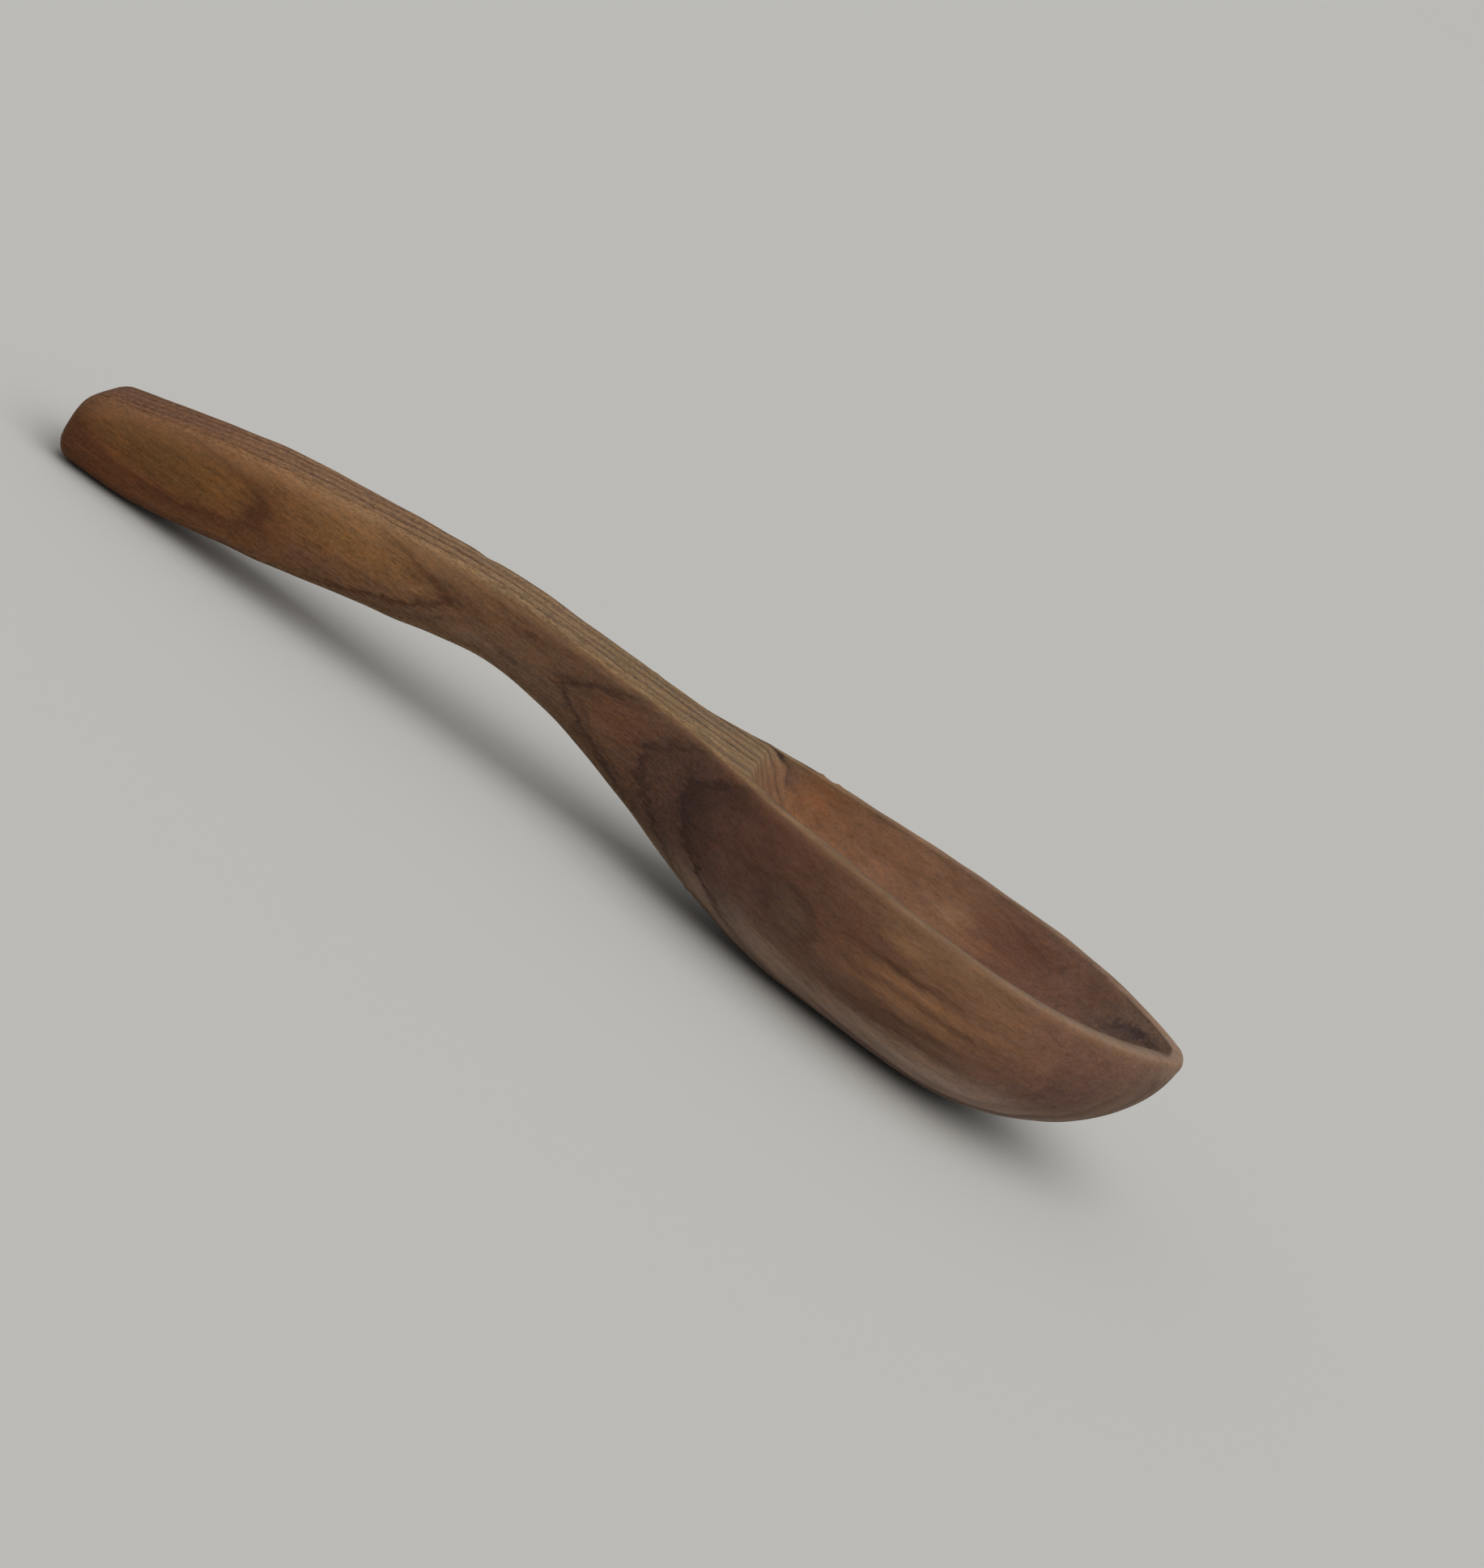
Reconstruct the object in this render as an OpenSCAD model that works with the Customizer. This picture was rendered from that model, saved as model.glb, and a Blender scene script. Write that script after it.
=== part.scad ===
// Salt spoon carved from one piece of wood: a deep leaf-shaped bowl on an arched handle.
// Millimetres. The tip of the bowl points to +X, the hollow opens to +Z, and the spoon
// stands on z = 0 on the keel of its bowl and on the heel of its handle.
// Sizes along the spoon are runs, laid end to end from the tip to the end of the handle.

/* [Bowl] */
// Tip to the widest place of the bowl
widest_run = 13; // [9:0.5:17]
// Widest place to the shoulder, where the bowl starts to narrow fast
shoulder_run = 12; // [8:0.5:16]
// Shoulder to the neck, where the bowl ends
neck_run = 9; // [6:0.5:13]
// Width of the bowl at its widest place
bowl_w = 15.4; // [12:0.1:20]
// Width of the bowl at the shoulder
shoulder_w = 11.8; // [9.5:0.1:12]
// Fullness of the front in plan, where 1 is a straight wedge
front_fullness = 2.25; // [1.6:0.05:3]
// Radius of the nose of the bowl in plan
nose_r = 2.5; // [1.5:0.1:3.5]
// Height of the rim at the tip
tip_z = 9.9; // [8:0.1:13]
// Height of the rim at the widest place
rim_z = 9.45; // [8:0.05:12]
// Height of the blunt edge that stands at the tip
stem_h = 0.7; // [0.6:0.1:2]
// Length of the rounded bow under the tip
bow_run = 13.5; // [10:0.5:17]
// Length of the level keel behind the bow, which stands on the table
keel_run = 7; // [4:0.5:10]

/* [Hollow] */
// Wall of the bowl at its rim, from the widest place forwards
rim_wall = 0.75; // [0.6:0.05:1.5]
// Wall of the bowl at its rim, from the shoulder backwards
shoulder_wall = 1; // [0.7:0.05:2]
// Wall of the bowl at its tip, along the spoon
tip_wall = 0.9; // [0.8:0.1:2]
// Radius of the hollow's own nose in plan
hollow_nose_r = 1.2; // [0.6:0.1:2]
// Thickness of wood under the deepest place of the hollow
floor_t = 2.2; // [1.2:0.1:3.5]
// Tip to the deepest place of the hollow
deep_run = 14; // [11:0.5:17]
// Solid wood between the back of the hollow and the neck
web_run = 5.5; // [4:0.5:8]
// Steepness of the back of the hollow, where 1 is a straight ramp
back_steepness = 3; // [2:0.1:4]
// Softness of the edge round the hollow
lip_r = 0.35; // [0.15:0.05:0.5]

/* [Handle] */
// Neck to the waist, where the handle is thinnest
waist_run = 9; // [6:0.5:13]
// Waist to the swell
swell_run = 7; // [4:0.5:10]
// Swell to the grip, where the handle is thickest
grip_run = 8; // [5:0.5:12]
// Grip to the heel, which stands on the table
heel_run = 9; // [6:0.5:13]
// Heel to the end of the handle
end_run = 3; // [2:0.5:5]
// Width of the handle at the neck
neck_w = 5.6; // [4.5:0.1:8]
// Width of the handle at the waist
waist_w = 5.4; // [4.5:0.1:8]
// Width of the handle at the grip
grip_w = 6.7; // [5:0.1:8.5]
// Width of the handle at its end
end_w = 6.4; // [5:0.1:8]
// Height of the top at the neck
neck_z = 9.15; // [8.5:0.05:11]
// Height of the top at the waist
waist_z = 9.15; // [8:0.05:11]
// Height of the top at the grip
grip_z = 7.4; // [6.6:0.1:9]
// Height of the top at the end, which is the thickness there
end_z = 4.3; // [3:0.1:5.5]
// Thickness at the waist
waist_t = 4.3; // [3:0.1:5.5]
// Thickness at the swell
swell_t = 5.1; // [4:0.1:6]
// Thickness at the grip
grip_t = 5.8; // [4.8:0.1:6.5]
// Rise of the top from its edges to its middle
crown_h = 0.1; // [0:0.05:0.6]

/* [Edges] */
// Radius of the outer edge of the bowl's rim
rim_edge = 0.45; // [0.25:0.05:0.55]
// Radius of the top edges at the neck
neck_edge = 0.5; // [0.3:0.05:1.2]
// Radius of the top edges at the waist
waist_edge = 0.5; // [0.3:0.05:1.2]
// Radius of the top edges at the swell
swell_edge = 1.3; // [0.6:0.1:2]
// Radius of the top edges at the grip
grip_edge = 1.2; // [0.4:0.1:1.6]
// Radius round the end of the handle
end_edge = 1.1; // [0.6:0.1:1.4]
// Squareness of the section at the tip, where 2 is an ellipse
tip_squareness = 2; // [1.7:0.1:2.6]
// Squareness of the bowl's section
bowl_squareness = 2.25; // [2:0.05:3]
// Squareness of the handle's section
handle_squareness = 3.2; // [2:0.1:4.5]

/* [Hidden] */

// Places along the spoon, from the tip
shoulder_at = widest_run + shoulder_run;
neck_at = shoulder_at + neck_run;
waist_at = neck_at + waist_run;
swell_at = waist_at + swell_run;
grip_at = swell_at + grip_run;
heel_at = grip_at + heel_run;
length = heel_at + end_run;
keel_end = bow_run + keel_run;
hollow_end = neck_at - web_run;
round_at = length - end_edge;

// Steps of the skin along the spoon, and of each stretch round a section
tip_steps = 24;
bowl_steps = 26;
handle_steps = 22;
end_steps = 5;
side_steps = 22;
edge_steps = 3;
top_steps = 22;
// Crowding of the sections towards the tip, where 1 is an even spacing
tip_crowding = 1.7;

// Least half width of a section, which is the flat at the very tip
nose_flat = nose_r / 8;
// Largest share of a section's half width and height that an edge radius may take
edge_share_w = 0.45;
edge_share_h = 0.3;
// Share of the half width that the top's points span where there is no hollow
top_share = 0.12;

// Smooth curve through stations [place, value] that never passes beyond them
function rate(p, i) = (p[i + 1][1] - p[i][1]) / (p[i + 1][0] - p[i][0]);
function blend_rate(a, b) = a * b <= 0 ? 0 : 2 * a * b / (a + b);
function tangent(p, i) =
    i == 0 ? rate(p, 0)
    : i == len(p) - 1 ? rate(p, i - 1)
    : blend_rate(rate(p, i - 1), rate(p, i));
function stretch(p, s, i = 0) = i >= len(p) - 2 || s < p[i + 1][0] ? i : stretch(p, s, i + 1);
function along(p, s) =
    let (i = stretch(p, s), run = p[i + 1][0] - p[i][0], t = (s - p[i][0]) / run)
    (1 + 2 * t) * (1 - t) * (1 - t) * p[i][1]
    + t * (1 - t) * (1 - t) * run * tangent(p, i)
    + t * t * (3 - 2 * t) * p[i + 1][1]
    + t * t * (t - 1) * run * tangent(p, i + 1);

// Quarter of an ellipse that falls from 1 to 0 as t goes from 0 to 1
function bow(t) = 1 - sqrt(max(0, 1 - pow(1 - t, 2)));
// Round front of a leaf shape of half width w: its half width at the place s past its start, when it
// is widest after run. The place is moved so that the nose has the radius r.
function leaf(s, run, w, r) =
    let (rate = front_fullness * w / run, moved = sqrt(s * s + 2 * r / pow(rate, 2) * s))
    w * (1 - pow(max(0, 1 - moved / run), front_fullness));
// Power that keeps the sign
function signed_pow(v, n) = sign(v) * pow(abs(v), n);

// Outline in plan: half width at the place s
function plan_half(s) =
    s < widest_run
    ? max(nose_flat, leaf(s, widest_run, bowl_w / 2, nose_r))
    : along([
        [0, bowl_w / 2],
        [widest_run, bowl_w / 2],
        [shoulder_at, shoulder_w / 2],
        [neck_at, neck_w / 2],
        [waist_at, waist_w / 2],
        [grip_at, grip_w / 2],
        [length, end_w / 2]
    ], s);

// Side view: height of the rim and of the handle's top
function top_line(s) = along([
    [0, tip_z],
    [widest_run, rim_z],
    [neck_at, neck_z],
    [waist_at, waist_z],
    [grip_at, grip_z],
    [length, end_z]
], s);

// Side view: height of the underside, from the bow through the keel and the arch to the heel
function keel_line(s) =
    s < bow_run
    ? (tip_z - stem_h) * bow(s / bow_run)
    : along([
        [bow_run, 0],
        [keel_end, 0],
        [waist_at, waist_z - waist_t],
        [swell_at, top_line(swell_at) - swell_t],
        [grip_at, grip_z - grip_t],
        [heel_at, 0],
        [length, 0]
    ], s);

// Hollow: wall at the rim, half width of the opening, and depth along the middle
function wall_line(s) = along([
    [0, rim_wall],
    [widest_run, rim_wall],
    [shoulder_at, shoulder_wall],
    [length, shoulder_wall]
], s);
function hollow_half(s) =
    s < widest_run
    ? leaf(max(0, s - tip_wall), widest_run - tip_wall, bowl_w / 2 - rim_wall, hollow_nose_r)
    : plan_half(s) - wall_line(s);
function hollow_lift(s) =
    s < deep_run
    ? bow(max(0, (s - tip_wall) / (deep_run - tip_wall)))
    : pow(min(1, (s - deep_run) / (hollow_end - deep_run)), back_steepness);
function hollow_depth(s) =
    s < tip_wall ? 0 : (top_line(s) - floor_t) * (1 - hollow_lift(s));
// Depth with its edge softened: it starts level and ends as deep as before
function soften(depth, full) =
    let (grown = full > 0 ? sqrt(pow(full + lip_r, 2) - lip_r * lip_r) / full : 1)
    sqrt(pow(depth * grown, 2) + lip_r * lip_r) - lip_r;
function depth_at(y, half, full) =
    abs(y) >= half
    ? 0
    : soften(full * pow(1 - pow(abs(y) / half, bowl_squareness), 1 / bowl_squareness), full);

// Radius of the top edges, squareness of the section and crown of the top
function edge_line(s) = along([
    [0, rim_edge],
    [widest_run, rim_edge],
    [neck_at, neck_edge],
    [waist_at, waist_edge],
    [swell_at, swell_edge],
    [grip_at, grip_edge],
    [length, grip_edge]
], s);
function squareness(s) = along([
    [0, tip_squareness],
    [widest_run, bowl_squareness],
    [shoulder_at, bowl_squareness],
    [neck_at, handle_squareness],
    [length, handle_squareness]
], s);
function crown(s) = along([[0, 0], [hollow_end, 0], [waist_at, crown_h], [length, crown_h]], s);

// How far a quarter circle of radius r has drawn in at the share t of its run
function drawn(t, r) = r * (1 - sqrt(max(0, 1 - t * t)));
// How far the round end has drawn the section in, and the round nose its top
function inset(s) = drawn(max(0, s - round_at) / end_edge, end_edge);
function nose_drop(s) = drawn(max(0, 1 - s / rim_edge), rim_edge);

// Point of the top, lowered from a level top by the crown
function crowned(y, z, rise, half) = [y, z - rise * pow(y / half, 2)];

// One section: its underside from edge to edge, the far edge, the top and the near edge
function section(s) =
    let (
        half = plan_half(s) - inset(s),
        high = top_line(s) - inset(s) - nose_drop(s),
        low = keel_line(s) + inset(s),
        edge = min(edge_line(s), edge_share_w * half, edge_share_h * (high - low)),
        rise = min(crown(s), edge),
        brim = high - rise - edge,
        n = 2 / squareness(s),
        hole = min(hollow_half(s), half - edge),
        span = max(hole, top_share * (half - edge)),
        full = hollow_depth(s)
    )
    [for (p = concat(
        [for (i = [0:side_steps])
            let (a = 180 * i / side_steps)
            [-half * signed_pow(cos(a), n), brim - (brim - low) * pow(sin(a), n)]],
        [for (i = [1:edge_steps])
            let (a = 90 * i / edge_steps)
            crowned(half - edge + edge * cos(a), brim + edge * sin(a) + rise, rise, half)],
        [for (i = [0:top_steps])
            let (y = span * cos(180 * i / top_steps))
            crowned(y, high - depth_at(y, hole, full), rise, half)],
        [for (i = [0:edge_steps - 1])
            let (a = 90 - 90 * i / edge_steps)
            crowned(edge - half - edge * cos(a), brim + edge * sin(a) + rise, rise, half)]
    )) [length / 2 - s, p[0], p[1]]];

// Places of the sections: close together at the point and round the end
places = concat(
    [for (i = [0:tip_steps]) widest_run * pow(i / tip_steps, tip_crowding)],
    [for (i = [1:bowl_steps]) widest_run + (neck_at - widest_run) * i / bowl_steps],
    [for (i = [1:handle_steps]) neck_at + (round_at - neck_at) * i / handle_steps],
    [for (i = [1:end_steps]) round_at + end_edge * sin(90 * i / end_steps)]
);

function mean(list) = [for (i = [1:len(list)]) 1] * list / len(list);

// Skin through sections with as many points each, closed at both ends round a middle point
module skin(sections) {
    n = len(sections[0]);
    last = len(sections) - 1;
    points = [for (ring = sections) each ring];
    middles = [mean(sections[0]), mean(sections[last])];
    polyhedron(
        points = concat(points, middles),
        faces = concat(
            [for (j = [0:last - 1], i = [0:n - 1])
                let (a = j * n + i, b = j * n + (i + 1) % n)
                each [[a, b, a + n], [b, b + n, a + n]]],
            [for (i = [0:n - 1]) [len(points), (i + 1) % n, i]],
            [for (i = [0:n - 1]) [len(points) + 1, last * n + i, last * n + (i + 1) % n]]
        ),
        convexity = 6
    );
}

module spoon() {
    color("#6b4c36")
    skin([for (s = places) section(s)]);
}

spoon();
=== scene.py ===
"""Looks of a small salt spoon that is carved from one piece of figured fruitwood.

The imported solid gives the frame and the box. The skin made here repeats its form as a fine surface with the
knife's small marks, and one solid wood texture runs through all of it. Lengths are in millimetres until a
mesh, a light or the camera is placed, because the whole spoon is only 70 mm long.
"""

import logging
import math
from dataclasses import dataclass
from enum import Enum
from functools import reduce

import bpy
import numpy as np
from mathutils import Matrix, Vector


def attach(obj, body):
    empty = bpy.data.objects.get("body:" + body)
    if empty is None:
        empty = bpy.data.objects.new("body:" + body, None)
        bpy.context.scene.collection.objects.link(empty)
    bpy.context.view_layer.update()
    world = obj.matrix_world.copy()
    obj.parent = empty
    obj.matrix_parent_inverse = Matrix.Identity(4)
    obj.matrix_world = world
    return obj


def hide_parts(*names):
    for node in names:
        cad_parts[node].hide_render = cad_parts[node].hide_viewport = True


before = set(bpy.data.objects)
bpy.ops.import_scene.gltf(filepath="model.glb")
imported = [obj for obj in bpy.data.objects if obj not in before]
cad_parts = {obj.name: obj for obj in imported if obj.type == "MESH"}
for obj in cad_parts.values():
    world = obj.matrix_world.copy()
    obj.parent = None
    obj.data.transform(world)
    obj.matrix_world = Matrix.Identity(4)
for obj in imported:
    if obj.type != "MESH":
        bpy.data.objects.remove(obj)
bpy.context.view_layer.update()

LOG = logging.getLogger("salt_spoon")
MM = 0.001

PHOTO_WIDTH = 1833
PHOTO_HEIGHT = 1937

Point = tuple[float, float, float]
Row = tuple[float, ...]
Colour = tuple[int, int, int]
Zones = tuple[tuple[float, Colour], ...]
Paint = tuple[float, float, float, float]
Step = tuple[float, float]


@dataclass(frozen=True)
class Curve:
    """Smooth curve through values at their places that never passes beyond them.

    Between two places it is the cubic whose end slopes are the harmonic means of the slopes on both sides, or
    0 where those have different signs.
    """

    places: Row
    values: Row

    def at(self, place: np.ndarray) -> np.ndarray:
        """Value of the curve.

        Args:
            place: Places along the curve.

        Returns:
            The values there.
        """
        places, values = np.array([self.places, self.values], float)
        run = np.diff(places)
        rate = np.diff(values) / run
        before, after = rate[:-1], rate[1:]
        same_way = before * after > 0
        total = np.where(same_way, before + after, 1.0)
        slope = np.concatenate([rate[:1], np.where(same_way, 2 * before * after / total, 0.0), rate[-1:]])
        i = np.clip(np.searchsorted(places, place, side="right") - 1, 0, len(run) - 1)
        t = (place - places[i]) / run[i]
        return (
            (1 + 2 * t) * (1 - t) ** 2 * values[i]
            + t * (1 - t) ** 2 * run[i] * slope[i]
            + t**2 * (3 - 2 * t) * values[i + 1]
            + t**2 * (t - 1) * run[i] * slope[i + 1]
        )


@dataclass(frozen=True)
class SpoonForm:
    """Form of the spoon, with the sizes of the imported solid, in mm.

    A place s runs along the spoon from the tip of the bowl to the end of the handle. The tip points to +X,
    the hollow opens to +Z, and the spoon is the same on both sides of y = 0.
    """

    widest_run: float = 13.0
    shoulder_run: float = 12.0
    neck_run: float = 9.0
    bowl_w: float = 15.4
    shoulder_w: float = 11.8
    front_fullness: float = 2.25
    nose_r: float = 2.5
    blunt_share: float = 0.125
    tip_z: float = 9.9
    rim_z: float = 9.45
    stem_h: float = 0.7
    bow_run: float = 13.5
    keel_run: float = 7.0

    rim_wall: float = 0.75
    shoulder_wall: float = 1.0
    tip_wall: float = 0.9
    hollow_nose_r: float = 1.2
    floor_t: float = 2.2
    deep_run: float = 14.0
    web_run: float = 5.5
    back_steepness: float = 3.0
    lip_r: float = 0.35

    waist_run: float = 9.0
    swell_run: float = 7.0
    grip_run: float = 8.0
    heel_run: float = 9.0
    end_run: float = 3.0
    neck_w: float = 5.6
    waist_w: float = 5.4
    grip_w: float = 6.7
    end_w: float = 6.4
    neck_z: float = 9.15
    waist_z: float = 9.15
    grip_z: float = 7.4
    end_z: float = 4.3
    waist_t: float = 4.3
    swell_t: float = 5.1
    grip_t: float = 5.8
    crown_h: float = 0.1

    rim_edge: float = 0.45
    neck_edge: float = 0.5
    waist_edge: float = 0.5
    swell_edge: float = 1.3
    grip_edge: float = 1.2
    end_edge: float = 1.1
    tip_squareness: float = 2.0
    bowl_squareness: float = 2.25
    handle_squareness: float = 3.2

    edge_share_w: float = 0.45
    edge_share_h: float = 0.3
    top_share: float = 0.12

    @property
    def shoulder_at(self) -> float:
        """Place of the shoulder, where the bowl starts to narrow fast."""
        return self.widest_run + self.shoulder_run

    @property
    def neck_at(self) -> float:
        """Place of the neck, where the bowl ends."""
        return self.shoulder_at + self.neck_run

    @property
    def waist_at(self) -> float:
        """Place of the waist, where the handle is thinnest."""
        return self.neck_at + self.waist_run

    @property
    def swell_at(self) -> float:
        """Place of the swell between the waist and the grip."""
        return self.waist_at + self.swell_run

    @property
    def grip_at(self) -> float:
        """Place of the grip, where the handle is thickest."""
        return self.swell_at + self.grip_run

    @property
    def heel_at(self) -> float:
        """Place of the heel, which stands on the floor."""
        return self.grip_at + self.heel_run

    @property
    def length(self) -> float:
        """Length of the whole spoon."""
        return self.heel_at + self.end_run

    @property
    def hollow_end(self) -> float:
        """Place where the hollow has run out into the top."""
        return self.neck_at - self.web_run

    @property
    def round_at(self) -> float:
        """Place where the handle's end starts to round in."""
        return self.length - self.end_edge

    @staticmethod
    def bow(t: np.ndarray) -> np.ndarray:
        """Quarter of an ellipse that falls from 1 to 0 as t goes from 0 to 1."""
        return 1 - np.sqrt(np.clip(1 - (1 - t) ** 2, 0, 1))

    def leaf(self, s: np.ndarray, run: float, half: float, nose: float) -> np.ndarray:
        """Half width of the round front of a leaf shape.

        It is half * (1 - (1 - m / run)^fullness), where m = sqrt(s^2 + 2 nose / rate^2 s) is the place
        moved so that the nose gets its radius, and rate is the widening of the plain power at its start.

        Args:
            s: Places past the start of the leaf.
            run: Place where it is widest.
            half: Half width there.
            nose: Radius of the nose.

        Returns:
            The half width at s.
        """
        rate = self.front_fullness * half / run
        moved = np.sqrt(s**2 + 2 * nose / rate**2 * s)
        return half * (1 - np.clip(1 - moved / run, 0, 1) ** self.front_fullness)

    def plan_half(self, s: np.ndarray) -> np.ndarray:
        """Half width of the spoon seen from above.

        Args:
            s: Places along the spoon.

        Returns:
            The half width at each place.
        """
        leaf = self.leaf(s, self.widest_run, self.bowl_w / 2, self.nose_r)
        front = np.maximum(self.nose_r * self.blunt_share, leaf)
        places = (0, self.widest_run, self.shoulder_at, self.neck_at, self.waist_at, self.grip_at)
        widths = (self.bowl_w, self.bowl_w, self.shoulder_w, self.neck_w, self.waist_w, self.grip_w)
        curve = Curve((*places, self.length), (*widths, self.end_w))
        return np.where(s < self.widest_run, front, curve.at(s) / 2)

    def top_line(self, s: np.ndarray) -> np.ndarray:
        """Height of the rim and of the handle's top.

        Args:
            s: Places along the spoon.

        Returns:
            The height at each place.
        """
        places = (0, self.widest_run, self.neck_at, self.waist_at, self.grip_at, self.length)
        heights = (self.tip_z, self.rim_z, self.neck_z, self.waist_z, self.grip_z, self.end_z)
        return Curve(places, heights).at(s)

    def keel_line(self, s: np.ndarray) -> np.ndarray:
        """Height of the underside, from the bow through the keel and the arch to the heel.

        Args:
            s: Places along the spoon.

        Returns:
            The height at each place.
        """
        bow = (self.tip_z - self.stem_h) * self.bow(np.clip(s / self.bow_run, 0, 1))
        keel = (self.bow_run, self.bow_run + self.keel_run)
        places = (*keel, self.waist_at, self.swell_at, self.grip_at, self.heel_at, self.length)
        waist = self.waist_z - self.waist_t
        swell = float(self.top_line(np.array(self.swell_at))) - self.swell_t
        heights = (0, 0, waist, swell, self.grip_z - self.grip_t, 0, 0)
        return np.where(s < self.bow_run, bow, Curve(places, heights).at(s))

    def hollow_half(self, s: np.ndarray) -> np.ndarray:
        """Half width of the hollow's opening: a leaf in front, and the plan less the wall behind it.

        Args:
            s: Places along the spoon.

        Returns:
            The half width at each place.
        """
        start, half = self.tip_wall, self.bowl_w / 2 - self.rim_wall
        front = self.leaf(np.clip(s - start, 0, None), self.widest_run - start, half, self.hollow_nose_r)
        places = (0, self.widest_run, self.shoulder_at, self.length)
        walls = (self.rim_wall, self.rim_wall, self.shoulder_wall, self.shoulder_wall)
        return np.where(s < self.widest_run, front, self.plan_half(s) - Curve(places, walls).at(s))

    def hollow_depth(self, s: np.ndarray) -> np.ndarray:
        """Depth of the hollow along its middle: an elliptic front and a back that climbs by a power.

        Args:
            s: Places along the spoon.

        Returns:
            The depth at each place, which is 0 outside the hollow.
        """
        front = self.bow(np.clip((s - self.tip_wall) / (self.deep_run - self.tip_wall), 0, 1))
        back = np.clip((s - self.deep_run) / (self.hollow_end - self.deep_run), 0, 1) ** self.back_steepness
        lift = np.where(s < self.deep_run, front, back)
        return np.where(s < self.tip_wall, 0.0, (self.top_line(s) - self.floor_t) * (1 - lift))

    def depth_at(self, y: np.ndarray, half: np.ndarray, full: np.ndarray) -> np.ndarray:
        """Depth of the hollow across a section.

        A superellipse of the half width and the full depth, whose rim is softened over lip_r: a depth d
        becomes sqrt(d^2 + r^2) - r, after d has grown enough to end as deep as before.

        Args:
            y: Places across the spoon.
            half: Half width of the opening.
            full: Depth in the middle.

        Returns:
            The depth at y, which is 0 outside the opening.
        """
        share = np.clip(np.abs(y) / np.maximum(half, 1e-6), 0, 1)
        depth = full * (1 - share**self.bowl_squareness) ** (1 / self.bowl_squareness)
        grown = np.sqrt((full + self.lip_r) ** 2 - self.lip_r**2) / np.maximum(full, 1e-6)
        return np.sqrt((depth * grown) ** 2 + self.lip_r**2) - self.lip_r

    def edge_line(self, s: np.ndarray) -> np.ndarray:
        """Radius of the top edges.

        Args:
            s: Places along the spoon.

        Returns:
            The radius at each place.
        """
        places = (0, self.widest_run, self.neck_at, self.waist_at, self.swell_at, self.grip_at, self.length)
        rim, grip = (self.rim_edge,) * 2, (self.grip_edge,) * 2
        return Curve(places, (*rim, self.neck_edge, self.waist_edge, self.swell_edge, *grip)).at(s)

    def squareness(self, s: np.ndarray) -> np.ndarray:
        """Power of the superellipse that the underside of a section follows.

        Args:
            s: Places along the spoon.

        Returns:
            The power at each place.
        """
        places = (0, self.widest_run, self.shoulder_at, self.neck_at, self.length)
        bowl, handle = (self.bowl_squareness,) * 2, (self.handle_squareness,) * 2
        return Curve(places, (self.tip_squareness, *bowl, *handle)).at(s)

    def crown(self, s: np.ndarray) -> np.ndarray:
        """Rise of the top from its edges to its middle."""
        places = (0, self.hollow_end, self.waist_at, self.length)
        return Curve(places, (0, 0, self.crown_h, self.crown_h)).at(s)

    @staticmethod
    def drawn(share: np.ndarray, radius: float) -> np.ndarray:
        """How far a quarter circle has drawn in at a share of its run."""
        return radius * (1 - np.sqrt(1 - np.clip(share, 0, 1) ** 2))

    def inset(self, s: np.ndarray) -> np.ndarray:
        """How far the handle's round end has drawn the section in."""
        return self.drawn((s - self.round_at) / self.end_edge, self.end_edge)

    def nose_drop(self, s: np.ndarray) -> np.ndarray:
        """How far the round edge of the nose has lowered the top."""
        return self.drawn(1 - s / self.rim_edge, self.rim_edge)


@dataclass(frozen=True)
class Skin:
    """Grid of points over the spoon's form, with what the finish has to know about the surface there.

    Rows run along the spoon, and columns round each section. Points are in mm. The crest mask is 1 along the
    middle of the rounded top edges, which the finish paints paler, partly for wear and partly as painted
    highlight. The hollow mask is 1 in the hollow, which the finish paints lighter, partly as the wood's own
    colour there and partly as painted light. Outside is 1 everywhere but on the top and in the hollow.
    """

    points: np.ndarray
    wear_and_highlight: np.ndarray
    scraped_and_lit: np.ndarray
    outside: np.ndarray

    def normals(self) -> np.ndarray:
        """Outward normals: the cross product of the steps along the spoon and those round a section.

        Returns:
            A unit vector for each point.
        """
        along = np.gradient(self.points, axis=0)
        around = np.roll(self.points, -1, 1) - np.roll(self.points, 1, 1)
        normal = np.cross(along, around)
        return normal / np.maximum(np.linalg.norm(normal, axis=-1, keepdims=True), 1e-9)

    def flank(self) -> np.ndarray:
        """How far the outside faces along Y: -1 on the near side, 1 on the far side, 0 on top and below."""
        return self.normals()[..., 1] * self.outside


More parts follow.
